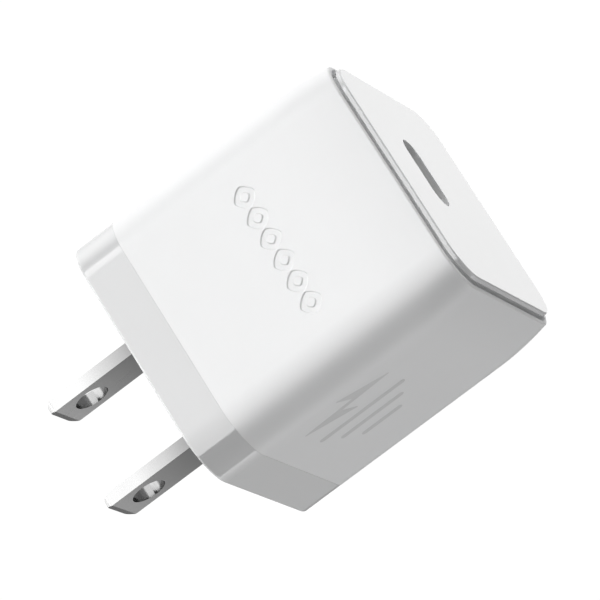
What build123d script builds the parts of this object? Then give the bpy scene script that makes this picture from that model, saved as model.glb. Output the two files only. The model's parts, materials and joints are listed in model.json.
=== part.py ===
from build123d import *
import os

# Compact wall-plug power adapter with one USB-C outlet, in millimetres.
# The origin is the centre of the plug face, midway between the two blades.
# +Y is the way the blades point, -Y is the outlet end, +Z is the marked front face,
# and X runs across the blade pitch. "Depth" is measured from the plug face towards -Y.

os.makedirs("parts", exist_ok=True)

# ---------------------------------------------------------------- driving dimensions
BODY_WIDTH = 31.2  # square section, across X and across Z
BODY_LENGTH = 34.8  # plug face to the face of the outlet panel
CORNER_RADIUS = 5.2
WALL = 1.8

CAP_LENGTH = 5.15  # glossy plug-end band
SEAM_GAP = 0.03
PLUG_WALL = 2.0
PLUG_EDGE_RADIUS = 0.3
TONGUE_LENGTH = 3.0  # spigot of the cap inside the sleeve
TONGUE_WALL = 1.1
SPIGOT_CLEARANCE = 0.1

PANEL_WIDTH = 28.2
PANEL_RADIUS = 4.0
PANEL_PROUD = 0.8  # panel face above the sleeve's rim
PANEL_BEVEL = 0.15
PANEL_PLATE = 0.58  # full-width edge of the panel; below it a neck leaves a shadow gap
PANEL_NECK_INSET = 0.35
GROOVE_WIDTH = 0.35
GROOVE_DEPTH = 1.1
END_WALL = 1.6
CROWN_LENGTH = 7.0  # stretch where the sleeve curves inwards towards its rim
CROWN_INSET = 1.05
CROWN_STATIONS = (0.0, 0.35, 0.5, 0.62, 0.73, 0.82, 0.89, 0.94, 0.975, 1.0)  # shares of the crown's length
MARK_COUNT = 6  # outlined diamonds sunk into the front face
MARK_PITCH = 2.8
MARK_DEPTH = 0.14
MARK_CENTRE_DEPTH = 19.45
MARK_OUTER = (2.25, 0.6)  # side and corner radius
MARK_INNER = (1.2, 0.3)
BOARD_RAIL_DEPTHS = (10.0, 28.0)
RAIL_CLEARANCE = 0.05
LOWER_RAIL_THICKNESS = 0.85
UPPER_RAIL_THICKNESS = 0.7
STEM_WIDTH = 23.4
STEM_RADIUS = 2.3
STEM_BORE_RADIUS = 1.1
STEM_CLEARANCE = 0.1
STEM_WALL = 1.2
STEM_LENGTH = 2.7
HOOK_WIDTH = 6.0
HOOK_REACH = 0.4

BLADE_PITCH = 12.7
BLADE_THICKNESS = 1.5
BLADE_WIDTH = 6.35
BLADE_LENGTH = 14.7
BLADE_HOLE_RADIUS = 2.0
BLADE_HOLE_REACH = 10.45  # hole centre above the plug face
BLADE_TIP_RADIUS = 1.0
BLADE_TIP_BEVEL = (0.8, 0.4)  # along the blade, and into each broad face
BLADE_FIT = 0.05
SHOULDER_WIDTH = 8.4
SHOULDER_LENGTH = 1.2
TAIL_WIDTH = 4.0
TAIL_DEPTH = 8.0
CARRIER_DEPTH = 4.8
CARRIER_WIDTH = 22.0
CARRIER_HEIGHT = 10.8

PORT_X = 1.8
PORT_Z = 3.1
PORT_SLOT = (9.1, 3.75)
SHELL_SIZE = (8.94, 3.26)
SHELL_WALL = 0.3
SHELL_RECESS = 1.15  # mouth of the receptacle behind the panel face
TONGUE_PLATE = (6.69, 0.7)
CONTACT_PITCH = 0.5
CONTACTS_PER_SIDE = 12

BOARD_TOP = -10.0
BOARD_THICKNESS = 1.0
BOARD_WIDTH = 26.4
BOARD_DEPTHS = (8.4, 29.9)
RAIL_OVERLAP = 0.15  # how far the sleeve's rails reach over the board's edges
PORT_BOARD_DEPTHS = (26.0, 26.8)
LEAD_RADIUS = 0.3
LEAD_HOLE_RADIUS = 0.45
LEAD_TIP = BOARD_TOP - BOARD_THICKNESS - 0.6

TRANSFORMER_X = 3.9
TRANSFORMER_DEPTH = 18.5
CORE_SIZE = (17.0, 11.0, 13.8)
CORE_BOTTOM = -8.8
CORE_PLATE = 2.2
CORE_LEG = 2.0
POST_RADIUS = 3.3
BOBBIN_WALL = 0.6
FLANGE_RADIUS = 6.2
PRIMARY_RADIUS = 5.1
SECONDARY_RADII = (5.3, 6.1)
PIN_PITCH = 2.5
TAPE_WIDTH = 6.0
TAPE_THICKNESS = 0.15

CAPACITOR_RADIUS = 4.0
CAPACITOR_ENDS = (-5.2, 10.8)
CAPACITOR_Z = 9.45
CAPACITOR_DEPTHS = (12.3, 20.6)
CAPACITOR_LEAD_PITCH = 3.5
CAPACITOR_LEAD_X = -7.0

CHOKE_X = -10.5
CHOKE_DEPTH = 20.5
CHOKE_Z = -4.7
CHOKE_RADII = (2.2, 4.2)
CHOKE_THICKNESS = 3.8
CHOKE_WIRE = 0.6

# ---------------------------------------------------------------- derived sizes
RIM_DEPTH = BODY_LENGTH - PANEL_PROUD
PANEL_SEAT_DEPTH = RIM_DEPTH - GROOVE_DEPTH
END_WALL_DEPTH = PANEL_SEAT_DEPTH - END_WALL
CROWN_DEPTH = RIM_DEPTH - CROWN_LENGTH
CAVITY_WIDTH = BODY_WIDTH - 2 * WALL
CAVITY_RADIUS = CORNER_RADIUS - WALL
SPIGOT_WIDTH = CAVITY_WIDTH - 2 * SPIGOT_CLEARANCE
SPIGOT_RADIUS = CAVITY_RADIUS - SPIGOT_CLEARANCE
CAP_CAVITY_WIDTH = SPIGOT_WIDTH - 2 * TONGUE_WALL
CAP_CAVITY_RADIUS = SPIGOT_RADIUS - TONGUE_WALL
SHELL_DEPTH = BODY_LENGTH - SHELL_RECESS
BOARD_BOTTOM = BOARD_TOP - BOARD_THICKNESS
PORT_BOARD_FACE = PORT_BOARD_DEPTHS[1]
CORE_TOP = CORE_BOTTOM + CORE_SIZE[2]
CORE_MIDDLE = CORE_BOTTOM + CORE_SIZE[2] / 2
WINDOW_BOTTOM = CORE_BOTTOM + CORE_PLATE + 0.1
WINDOW_TOP = CORE_TOP - CORE_PLATE - 0.1
RAIL_DEPTHS = ((11.8, 12.85), (24.15, 25.2))

# where component leads pass through the main board, as (x, depth)
LEAD_SPOTS = {
    "x_capacitor": [(-10.5, 10.6), (-10.5, 13.8)],
    "thermistor": [(-1.2, 10.0), (1.8, 10.0)],
    "fuse": [(10.6, 10.2)],
    "choke": [(-12.6, 16.6), (-8.4, 16.6), (-12.6, 24.4), (-8.4, 24.4)],
}
CAPACITOR_LEAD_SPOTS = [
    (CAPACITOR_LEAD_X, depth + side * CAPACITOR_LEAD_PITCH / 2)
    for depth in CAPACITOR_DEPTHS
    for side in (-1, 1)
]
PIN_SPOTS = [
    (TRANSFORMER_X + (index - 1.5) * PIN_PITCH, sum(rail) / 2)
    for rail in RAIL_DEPTHS
    for index in range(4)
]
SPRING_LEG_DEPTHS = (8.7, 9.6)


# ---------------------------------------------------------------- helpers
def at_depth(depth):
    """Plane across the body, this far from the plug face; extruding goes towards the outlet."""
    return Plane.XZ.offset(depth)


def rounded_prism(width, radius, start, end, mode=Mode.ADD):
    """Square prism with rounded corners, between two depths of the part being built."""
    with BuildSketch(at_depth(start)) as section:
        RectangleRounded(width, width, radius)
    extrude(section.sketch, amount=end - start, mode=mode)


def block(x, depth, z, mode=Mode.ADD):
    """Box between low and high x, low and high depth, low and high z."""
    middle = ((x[0] + x[1]) / 2, -(depth[0] + depth[1]) / 2, (z[0] + z[1]) / 2)
    with Locations(middle):
        Box(x[1] - x[0], depth[1] - depth[0], z[1] - z[0], mode=mode)


def upright(x, depth, radius, z, mode=Mode.ADD):
    """Vertical round bar between two heights."""
    with Locations((x, -depth, (z[0] + z[1]) / 2)):
        Cylinder(radius, z[1] - z[0], mode=mode)


def port_slot(size, start, end, mode=Mode.ADD):
    """Round-ended bar on the axis of the outlet, between two depths."""
    with BuildSketch(at_depth(start)) as section:
        with Locations((PORT_X, PORT_Z)):
            SlotOverall(*size)
    extrude(section.sketch, amount=end - start, mode=mode)


def around(middle, size):
    """Low and high ends of a span of this size about its middle."""
    return (middle - size / 2, middle + size / 2)


# ---------------------------------------------------------------- casing
# Matte sleeve: four walls, a crowned outlet end with a sunk seat for the panel, board rails inside,
# and a recessed row of outlined diamonds on the front face.
with BuildPart() as housing_sleeve:
    rounded_prism(BODY_WIDTH, CORNER_RADIUS, CAP_LENGTH + SEAM_GAP, CROWN_DEPTH)
    for share in CROWN_STATIONS:
        inset = CROWN_INSET * (1 - (1 - share**4) ** 0.5)
        with BuildSketch(at_depth(CROWN_DEPTH + CROWN_LENGTH * share)):
            RectangleRounded(BODY_WIDTH - 2 * inset, BODY_WIDTH - 2 * inset, CORNER_RADIUS - inset)
    loft(ruled=True)
    rounded_prism(
        PANEL_WIDTH + 2 * GROOVE_WIDTH, PANEL_RADIUS + GROOVE_WIDTH, PANEL_SEAT_DEPTH, RIM_DEPTH, Mode.SUBTRACT
    )
    rounded_prism(CAVITY_WIDTH, CAVITY_RADIUS, CAP_LENGTH, END_WALL_DEPTH, Mode.SUBTRACT)
    rounded_prism(
        STEM_WIDTH + 2 * STEM_CLEARANCE,
        STEM_RADIUS + STEM_CLEARANCE,
        END_WALL_DEPTH,
        PANEL_SEAT_DEPTH,
        Mode.SUBTRACT,
    )
    for side in (-1, 1):
        rail = sorted((side * (BOARD_WIDTH / 2 - RAIL_OVERLAP), side * (CAVITY_WIDTH / 2 + 0.1)))
        lower_top = BOARD_BOTTOM - RAIL_CLEARANCE
        upper_bottom = BOARD_TOP + RAIL_CLEARANCE
        block(rail, BOARD_RAIL_DEPTHS, (lower_top - LOWER_RAIL_THICKNESS, lower_top))
        block(rail, BOARD_RAIL_DEPTHS, (upper_bottom, upper_bottom + UPPER_RAIL_THICKNESS))
    with BuildSketch(Plane.XY.offset(BODY_WIDTH / 2)):
        with Locations((0, -MARK_CENTRE_DEPTH)):
            with GridLocations(MARK_PITCH, 0, MARK_COUNT, 1):
                RectangleRounded(MARK_OUTER[0], MARK_OUTER[0], MARK_OUTER[1], rotation=45)
                RectangleRounded(MARK_INNER[0], MARK_INNER[0], MARK_INNER[1], rotation=45, mode=Mode.SUBTRACT)
    extrude(amount=-MARK_DEPTH, mode=Mode.SUBTRACT)
housing_sleeve.part.label = "housing_sleeve"

# Glossy plug-end cap: plug face with two blade slots, band, and a spigot that is welded into the sleeve.
with BuildPart() as plug_end_cap:
    rounded_prism(BODY_WIDTH, CORNER_RADIUS, 0, CAP_LENGTH)
    fillet(plug_end_cap.faces().sort_by(Axis.Y)[-1].edges(), PLUG_EDGE_RADIUS)
    rounded_prism(SPIGOT_WIDTH, SPIGOT_RADIUS, CAP_LENGTH, CAP_LENGTH + TONGUE_LENGTH)
    rounded_prism(
        CAP_CAVITY_WIDTH, CAP_CAVITY_RADIUS, PLUG_WALL, CAP_LENGTH + TONGUE_LENGTH, Mode.SUBTRACT
    )
    with BuildSketch(at_depth(0)):
        with GridLocations(BLADE_PITCH, 0, 2, 1):
            Rectangle(BLADE_THICKNESS + 2 * BLADE_FIT, BLADE_WIDTH + 2 * BLADE_FIT)
    extrude(amount=PLUG_WALL, mode=Mode.SUBTRACT)
plug_end_cap.part.label = "plug_end_cap"

# Raised outlet panel: plate on a narrower neck, the port slot, a square stem through the sleeve's end
# wall, and four snap hooks.
with BuildPart() as front_panel:
    rounded_prism(PANEL_WIDTH, PANEL_RADIUS, BODY_LENGTH - PANEL_PLATE, BODY_LENGTH)
    chamfer(front_panel.faces().sort_by(Axis.Y)[0].edges(), PANEL_BEVEL)
    rounded_prism(
        PANEL_WIDTH - 2 * PANEL_NECK_INSET,
        PANEL_RADIUS - PANEL_NECK_INSET,
        PANEL_SEAT_DEPTH,
        BODY_LENGTH - PANEL_PLATE,
    )
    rounded_prism(STEM_WIDTH, STEM_RADIUS, PANEL_SEAT_DEPTH - STEM_LENGTH, PANEL_SEAT_DEPTH)
    hook_depths = (END_WALL_DEPTH - 0.85, END_WALL_DEPTH - 0.1)
    hook_span = around(0, STEM_WIDTH + 2 * HOOK_REACH)
    block(hook_span, hook_depths, around(0, HOOK_WIDTH))
    block(around(0, HOOK_WIDTH), hook_depths, hook_span)
    rounded_prism(
        STEM_WIDTH - 2 * STEM_WALL,
        STEM_BORE_RADIUS,
        PANEL_SEAT_DEPTH - STEM_LENGTH,
        PANEL_SEAT_DEPTH,
        Mode.SUBTRACT,
    )
    port_slot(PORT_SLOT, PANEL_SEAT_DEPTH - STEM_LENGTH, BODY_LENGTH, Mode.SUBTRACT)
front_panel.part.label = "front_panel"


# ---------------------------------------------------------------- plug
def make_blade(side):
    """Flat plug blade with a locking hole, a shoulder held behind the plug face, and a narrow tail."""
    centre = side * BLADE_PITCH / 2
    with BuildPart() as blade:
        with BuildSketch(Plane.YZ.offset(centre - BLADE_THICKNESS / 2)) as outline:
            with Locations(((BLADE_LENGTH - PLUG_WALL) / 2, 0)):
                Rectangle(BLADE_LENGTH + PLUG_WALL, BLADE_WIDTH)
            fillet(outline.vertices().group_by(Axis.X)[-1], BLADE_TIP_RADIUS)
            with Locations((-PLUG_WALL - SHOULDER_LENGTH / 2, 0)):
                Rectangle(SHOULDER_LENGTH, SHOULDER_WIDTH)
            with Locations((-(PLUG_WALL + TAIL_DEPTH) / 2, 0)):
                Rectangle(TAIL_DEPTH - PLUG_WALL, TAIL_WIDTH)
            with Locations((BLADE_HOLE_REACH, 0)):
                Circle(BLADE_HOLE_RADIUS, mode=Mode.SUBTRACT)
        extrude(amount=BLADE_THICKNESS)
        half = BLADE_THICKNESS / 2
        side_view = [
            (half, -TAIL_DEPTH - 1),
            (half, BLADE_LENGTH - BLADE_TIP_BEVEL[0]),
            (half - BLADE_TIP_BEVEL[1], BLADE_LENGTH),
        ]
        with BuildSketch(Plane.XY.move(Location((centre, 0, 0)))):
            with BuildLine():
                Polyline(*side_view, *[(-x, y) for x, y in reversed(side_view)], close=True)
            make_face()
        extrude(amount=SHOULDER_WIDTH, both=True, mode=Mode.INTERSECT)
    return blade


blade_left = make_blade(-1)
blade_left.part.label = "blade_left"
blade_right = make_blade(1)
blade_right.part.label = "blade_right"

# Insulating block behind the plug face: pockets trap the blades' shoulders, slots pass their tails.
with BuildPart() as blade_carrier:
    block(around(0, CARRIER_WIDTH), (PLUG_WALL + BLADE_FIT, CARRIER_DEPTH), around(0, CARRIER_HEIGHT))
    fillet(blade_carrier.edges().filter_by(Axis.Y), 1.0)
    for side in (-1, 1):
        across = around(side * BLADE_PITCH / 2, BLADE_THICKNESS + 2 * BLADE_FIT)
        pocket = (PLUG_WALL, PLUG_WALL + SHOULDER_LENGTH + BLADE_FIT)
        block(across, pocket, around(0, SHOULDER_WIDTH + 2 * BLADE_FIT), Mode.SUBTRACT)
        block(across, (PLUG_WALL, CARRIER_DEPTH), around(0, TAIL_WIDTH + 2 * BLADE_FIT), Mode.SUBTRACT)
blade_carrier.part.label = "blade_carrier"


def make_contact_spring(side):
    """Bronze clip: a leaf each side of the blade's tail, a web under it and a leg down to the board."""
    centre = side * BLADE_PITCH / 2
    leaf_gap = BLADE_THICKNESS / 2 + 0.03
    leaf = 0.3
    span = around(centre, 2 * (leaf_gap + leaf))
    with BuildPart() as spring:
        block((span[0], span[0] + leaf), (5.2, TAIL_DEPTH), (-2.6, 1.6))
        block((span[1] - leaf, span[1]), (5.2, TAIL_DEPTH), (-2.6, 1.6))
        block(span, (5.2, SPRING_LEG_DEPTHS[1]), (-2.6, -2.3))
        block(around(centre, 1.6), (SPRING_LEG_DEPTHS[1] - leaf, SPRING_LEG_DEPTHS[1]), (LEAD_TIP, -2.3))
    return spring


contact_spring_left = make_contact_spring(-1)
contact_spring_left.part.label = "contact_spring_left"
contact_spring_right = make_contact_spring(1)
contact_spring_right.part.label = "contact_spring_right"

# ---------------------------------------------------------------- boards
# Main board, lying across the body under the tall components.
with BuildPart() as main_board:
    block(around(0, BOARD_WIDTH), BOARD_DEPTHS, (BOARD_BOTTOM, BOARD_TOP))
    fillet(main_board.edges().filter_by(Axis.Z), 1.0)
    for spots in LEAD_SPOTS.values():
        for x, depth in spots:
            upright(x, depth, LEAD_HOLE_RADIUS, (BOARD_BOTTOM, BOARD_TOP), Mode.SUBTRACT)
    for x, depth in CAPACITOR_LEAD_SPOTS + PIN_SPOTS:
        upright(x, depth, LEAD_HOLE_RADIUS, (BOARD_BOTTOM, BOARD_TOP), Mode.SUBTRACT)
    for side in (-1, 1):
        block(
            around(side * BLADE_PITCH / 2, 1.9),
            (SPRING_LEG_DEPTHS[1] - 0.45, SPRING_LEG_DEPTHS[1] + 0.15),
            (BOARD_BOTTOM, BOARD_TOP),
            Mode.SUBTRACT,
        )
        block(around(side * 7, 4.2), around(26.4, 1.0), (BOARD_BOTTOM, BOARD_TOP), Mode.SUBTRACT)
main_board.part.label = "main_board"

# Port board, standing on the main board and carrying the outlet.
with BuildPart() as port_board:
    block(around(0, 25.2), PORT_BOARD_DEPTHS, (BOARD_TOP, 12.4))
    fillet(port_board.edges().filter_by(Axis.Y), 1.0)
    for side in (-1, 1):
        block(around(side * 7, 4.0), PORT_BOARD_DEPTHS, (BOARD_BOTTOM, BOARD_TOP + 0.5))
port_board.part.label = "port_board"

# ---------------------------------------------------------------- USB-C receptacle
# Drawn steel shell, standing on the port board.
with BuildPart() as usb_c_shell:
    port_slot(SHELL_SIZE, PORT_BOARD_FACE, SHELL_DEPTH)
    bore = (SHELL_SIZE[0] - 2 * SHELL_WALL, SHELL_SIZE[1] - 2 * SHELL_WALL)
    port_slot(bore, PORT_BOARD_FACE, SHELL_DEPTH, Mode.SUBTRACT)
usb_c_shell.part.label = "usb_c_shell"

# Moulded core: a block filling the back of the shell and the contact tongue in front of it.
with BuildPart() as usb_c_tongue:
    port_slot((bore[0] - 0.1, bore[1] - 0.1), PORT_BOARD_FACE, PORT_BOARD_FACE + 1.4)
    tongue_depths = (PORT_BOARD_FACE + 1.4, SHELL_DEPTH - 0.6)
    block(around(PORT_X, TONGUE_PLATE[0]), tongue_depths, around(PORT_Z, TONGUE_PLATE[1]))
    chamfer(usb_c_tongue.faces().sort_by(Axis.Y)[0].edges(), 0.15)
usb_c_tongue.part.label = "usb_c_tongue"

# Gold contacts, twelve on each side of the tongue.
with BuildPart() as usb_c_contacts:
    for side in (-1, 1):
        surface = PORT_Z + side * (TONGUE_PLATE[1] / 2 + 0.04)
        for index in range(CONTACTS_PER_SIDE):
            x = PORT_X + (index - (CONTACTS_PER_SIDE - 1) / 2) * CONTACT_PITCH
            block(around(x, 0.25), (PORT_BOARD_FACE + 1.5, SHELL_DEPTH - 1.2), around(surface, 0.08))
usb_c_contacts.part.label = "usb_c_contacts"


# ---------------------------------------------------------------- transformer
def make_core_half(plate_z, leg_z):
    """Ferrite half: back plate, two outer legs and a round centre post."""
    x = around(TRANSFORMER_X, CORE_SIZE[0])
    depth = around(TRANSFORMER_DEPTH, CORE_SIZE[1])
    with BuildPart() as half:
        block(x, depth, plate_z)
        block((x[0], x[0] + CORE_LEG), depth, leg_z)
        block((x[1] - CORE_LEG, x[1]), depth, leg_z)
        upright(TRANSFORMER_X, TRANSFORMER_DEPTH, POST_RADIUS, leg_z)
    return half


transformer_core_lower = make_core_half((CORE_BOTTOM, CORE_BOTTOM + CORE_PLATE), (CORE_BOTTOM, CORE_MIDDLE))
transformer_core_lower.part.label = "transformer_core_lower"
transformer_core_upper = make_core_half((CORE_TOP - CORE_PLATE, CORE_TOP), (CORE_MIDDLE + 0.02, CORE_TOP))
transformer_core_upper.part.label = "transformer_core_upper"

# Bobbin: tube on the centre post, two flanges, and pin rails that stand on the board outside the core.
with BuildPart() as transformer_bobbin:
    upright(TRANSFORMER_X, TRANSFORMER_DEPTH, POST_RADIUS + 0.1 + BOBBIN_WALL, (WINDOW_BOTTOM, WINDOW_TOP))
    for z in ((WINDOW_BOTTOM, WINDOW_BOTTOM + BOBBIN_WALL), (WINDOW_TOP - BOBBIN_WALL, WINDOW_TOP)):
        upright(TRANSFORMER_X, TRANSFORMER_DEPTH, FLANGE_RADIUS, z)
    bridge_depths = (RAIL_DEPTHS[0][0], RAIL_DEPTHS[1][1])
    rail_x = around(TRANSFORMER_X, 10.0)
    block(rail_x, bridge_depths, (WINDOW_BOTTOM, WINDOW_BOTTOM + BOBBIN_WALL))
    for rail in RAIL_DEPTHS:
        block(rail_x, rail, (BOARD_TOP, WINDOW_BOTTOM + BOBBIN_WALL))
    upright(
        TRANSFORMER_X, TRANSFORMER_DEPTH, POST_RADIUS + 0.1, (WINDOW_BOTTOM - 1, WINDOW_TOP + 1), Mode.SUBTRACT
    )
transformer_bobbin.part.label = "transformer_bobbin"


def make_winding(inner, outer):
    """Wound layer on the bobbin, as a ring between its flanges."""
    z = (WINDOW_BOTTOM + BOBBIN_WALL + 0.05, WINDOW_TOP - BOBBIN_WALL - 0.05)
    with BuildPart() as winding:
        upright(TRANSFORMER_X, TRANSFORMER_DEPTH, outer, z)
        upright(TRANSFORMER_X, TRANSFORMER_DEPTH, inner, z, Mode.SUBTRACT)
    return winding


primary_winding = make_winding(POST_RADIUS + 0.15 + BOBBIN_WALL, PRIMARY_RADIUS)
primary_winding.part.label = "primary_winding"
winding_insulation = make_winding(PRIMARY_RADIUS + 0.02, SECONDARY_RADII[0] - 0.02)
winding_insulation.part.label = "winding_insulation"
secondary_winding = make_winding(*SECONDARY_RADII)
secondary_winding.part.label = "secondary_winding"

# Polyester tape that holds the core halves together.
with BuildPart() as transformer_tape:
    tape_depths = around(TRANSFORMER_DEPTH, TAPE_WIDTH)
    fit = 0.02
    loop_x = around(TRANSFORMER_X, CORE_SIZE[0] + 2 * (fit + TAPE_THICKNESS))
    loop_z = around(CORE_MIDDLE, CORE_SIZE[2] + 2 * (fit + TAPE_THICKNESS))
    block(loop_x, tape_depths, loop_z)
    block(
        (loop_x[0] + TAPE_THICKNESS, loop_x[1] - TAPE_THICKNESS),
        tape_depths,
        (loop_z[0] + TAPE_THICKNESS, loop_z[1] - TAPE_THICKNESS),
        Mode.SUBTRACT,
    )
transformer_tape.part.label = "transformer_tape"

# Eight tinned pins under the bobbin rails.
with BuildPart() as transformer_pins:
    for x, depth in PIN_SPOTS:
        upright(x, depth, LEAD_RADIUS, (LEAD_TIP, BOARD_TOP))
transformer_pins.part.label = "transformer_pins"


# ---------------------------------------------------------------- line filter and storage
def make_bulk_capacitor(depth):
    """Electrolytic can lying across the body, with a rolled groove near its sealed end."""
    with BuildPart() as can:
        with BuildSketch(Plane.YZ.offset(CAPACITOR_ENDS[0])):
            with Locations((-depth, CAPACITOR_Z)):
                Circle(CAPACITOR_RADIUS)
        extrude(amount=CAPACITOR_ENDS[1] - CAPACITOR_ENDS[0])
        fillet(can.edges().sort_by(Axis.X)[-1], 0.5)
        with BuildSketch(Plane.YZ.offset(CAPACITOR_ENDS[0] + 1.6)):
            with Locations((-depth, CAPACITOR_Z)):
                Circle(CAPACITOR_RADIUS + 0.1)
                Circle(CAPACITOR_RADIUS - 0.3, mode=Mode.SUBTRACT)
        extrude(amount=0.8, mode=Mode.SUBTRACT)
    return can


bulk_capacitor_front = make_bulk_capacitor(CAPACITOR_DEPTHS[0])
bulk_capacitor_front.part.label = "bulk_capacitor_front"
bulk_capacitor_rear = make_bulk_capacitor(CAPACITOR_DEPTHS[1])
bulk_capacitor_rear.part.label = "bulk_capacitor_rear"

# Rubber end seals of the two cans.
with BuildPart() as capacitor_seals:
    for depth in CAPACITOR_DEPTHS:
        with BuildSketch(Plane.YZ.offset(CAPACITOR_ENDS[0] - 0.45)):
            with Locations((-depth, CAPACITOR_Z)):
                Circle(CAPACITOR_RADIUS - 0.7)
        extrude(amount=0.45)
capacitor_seals.part.label = "capacitor_seals"

# Capacitor leads, bent down beside the cans and through the board.
with BuildPart() as capacitor_leads:
    for x, depth in CAPACITOR_LEAD_SPOTS:
        start = (CAPACITOR_ENDS[0] - 0.45, -depth, CAPACITOR_Z)
        with BuildLine() as route:
            FilletPolyline(start, (x, -depth, CAPACITOR_Z), (x, -depth, LEAD_TIP), radius=0.6)
        with BuildSketch(Plane(origin=start, z_dir=(-1, 0, 0))):
            Circle(LEAD_RADIUS)
        sweep(path=route.wires()[0])
capacitor_leads.part.label = "capacitor_leads"

# Common-mode choke: ferrite ring standing on edge.
with BuildPart() as choke_core:
    with BuildSketch(Plane.YZ.offset(CHOKE_X - CHOKE_THICKNESS / 2)):
        with Locations((-CHOKE_DEPTH, CHOKE_Z)):
            Circle(CHOKE_RADII[1])
            Circle(CHOKE_RADII[0], mode=Mode.SUBTRACT)
    extrude(amount=CHOKE_THICKNESS)
choke_core.part.label = "choke_core"

# Its two windings, one round each half of the ring.
with BuildPart() as choke_windings:
    ring_axis = Axis((CHOKE_X, -CHOKE_DEPTH, CHOKE_Z), (1, 0, 0))
    middle_radius = sum(CHOKE_RADII) / 2
    core_height = CHOKE_RADII[1] - CHOKE_RADII[0]
    for start_angle in (15, 195):
        section = Plane(ring_axis.position, x_dir=(1, 0, 0), z_dir=(0, 1, 0)).rotated((start_angle, 0, 0))
        with BuildSketch(section):
            with Locations((0, -middle_radius)):
                RectangleRounded(CHOKE_THICKNESS + 2 * CHOKE_WIRE, core_height + 2 * CHOKE_WIRE, CHOKE_WIRE)
                Rectangle(CHOKE_THICKNESS + 0.04, core_height + 0.04, mode=Mode.SUBTRACT)
        revolve(axis=ring_axis, revolution_arc=150)
choke_windings.part.label = "choke_windings"

# Plastic foot of the choke.
with BuildPart() as choke_base:
    block(around(CHOKE_X, 5.0), around(CHOKE_DEPTH, 9.4), (BOARD_TOP, BOARD_TOP + 0.4))
    for x, depth in LEAD_SPOTS["choke"]:
        upright(x, depth, LEAD_HOLE_RADIUS, (BOARD_TOP, BOARD_TOP + 0.4), Mode.SUBTRACT)
choke_base.part.label = "choke_base"

# Line capacitor in a moulded box.
with BuildPart() as x_capacitor:
    block((-13.0, -8.0), (9.4, 15.0), (BOARD_TOP + 0.1, 1.0))
    fillet(x_capacitor.edges(), 0.4)
x_capacitor.part.label = "x_capacitor"

# Slow-blow input fuse, standing on end in its sleeve.
with BuildPart() as input_fuse:
    upright(*LEAD_SPOTS["fuse"][0], 1.5, (BOARD_TOP + 0.3, BOARD_TOP + 8.6))
    fillet(input_fuse.edges(), 0.35)
input_fuse.part.label = "input_fuse"

# Inrush thermistor, a thin disc on edge.
with BuildPart() as surge_thermistor:
    with BuildSketch(at_depth(8.8)):
        with Locations((0.3, -6.4)):
            Circle(2.75)
    extrude(amount=2.4)
    fillet(surge_thermistor.edges(), 0.8)
surge_thermistor.part.label = "surge_thermistor"

# Leads of the standing parts, through the board.
with BuildPart() as component_leads:
    for spots, top in (
        (LEAD_SPOTS["x_capacitor"], BOARD_TOP + 0.1),
        (LEAD_SPOTS["thermistor"], BOARD_TOP + 1.2),
        (LEAD_SPOTS["fuse"], BOARD_TOP + 0.3),
        (LEAD_SPOTS["choke"], BOARD_TOP + 1.2),
    ):
        for x, depth in spots:
            upright(x, depth, LEAD_RADIUS, (LEAD_TIP, top))
component_leads.part.label = "component_leads"


# ---------------------------------------------------------------- surface-mounted parts
def under_board(x, depth, size):
    """Package soldered under the main board, centred at (x, depth)."""
    block(around(x, size[0]), around(depth, size[1]), (BOARD_BOTTOM - size[2], BOARD_BOTTOM))


def on_port_board(x, z, size):
    """Package soldered to the outlet side of the port board, centred at (x, z)."""
    block(around(x, size[0]), (PORT_BOARD_FACE, PORT_BOARD_FACE + size[2]), around(z, size[1]))


with BuildPart() as bridge_rectifier:
    under_board(10.5, 13.5, (4.6, 5.0, 1.5))
    chamfer(bridge_rectifier.faces().sort_by(Axis.Z)[0].edges(), 0.2)
bridge_rectifier.part.label = "bridge_rectifier"

with BuildPart() as gan_power_ic:
    under_board(1.5, 16.0, (8.0, 6.0, 0.9))
    chamfer(gan_power_ic.faces().sort_by(Axis.Z)[0].edges(), 0.1)
gan_power_ic.part.label = "gan_power_ic"

with BuildPart() as optocoupler:
    under_board(9.8, 20.5, (4.4, 6.6, 2.0))
    chamfer(optocoupler.faces().sort_by(Axis.Z)[0].edges(), 0.25)
optocoupler.part.label = "optocoupler"

with BuildPart() as y_capacitor:
    under_board(-10.2, 19.8, (5.0, 4.4, 1.9))
    chamfer(y_capacitor.faces().sort_by(Axis.Z)[0].edges(), 0.25)
y_capacitor.part.label = "y_capacitor"

with BuildPart() as sync_rectifier_ic:
    on_port_board(1.0, 8.6, (6.0, 5.0, 1.0))
sync_rectifier_ic.part.label = "sync_rectifier_ic"

with BuildPart() as pd_controller_ic:
    on_port_board(-7.0, 3.6, (4.0, 4.0, 0.8))
pd_controller_ic.part.label = "pd_controller_ic"

with BuildPart() as output_switch:
    on_port_board(9.2, 3.6, (3.3, 3.3, 0.9))
output_switch.part.label = "output_switch"

# Two polymer output capacitors.
with BuildPart() as output_capacitors:
    for x in (-5.0, 5.0):
        on_port_board(x, -4.2, (7.3, 4.3, 2.8))
output_capacitors.part.label = "output_capacitors"

# Ceramic chip capacitors round the outlet.
with BuildPart() as chip_capacitors:
    for x in (-8.5, -6.0, 7.0, 9.5):
        on_port_board(x, 8.6, (1.25, 2.0, 0.9))
chip_capacitors.part.label = "chip_capacitors"

# Chip resistors in a row under the main board.
with BuildPart() as chip_resistors:
    for step in range(6):
        under_board(-5.0 + 2.0 * step, 26.8 + 1.4 * (step % 2), (1.2, 0.65, 0.45))
chip_resistors.part.label = "chip_resistors"

# ---------------------------------------------------------------- heat and insulation
# Gap pad from the power switch to the spreader.
with BuildPart() as thermal_pad:
    block(around(1.5, 8.0), around(16.0, 6.0), (BOARD_BOTTOM - 1.9, BOARD_BOTTOM - 0.9))
thermal_pad.part.label = "thermal_pad"

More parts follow.
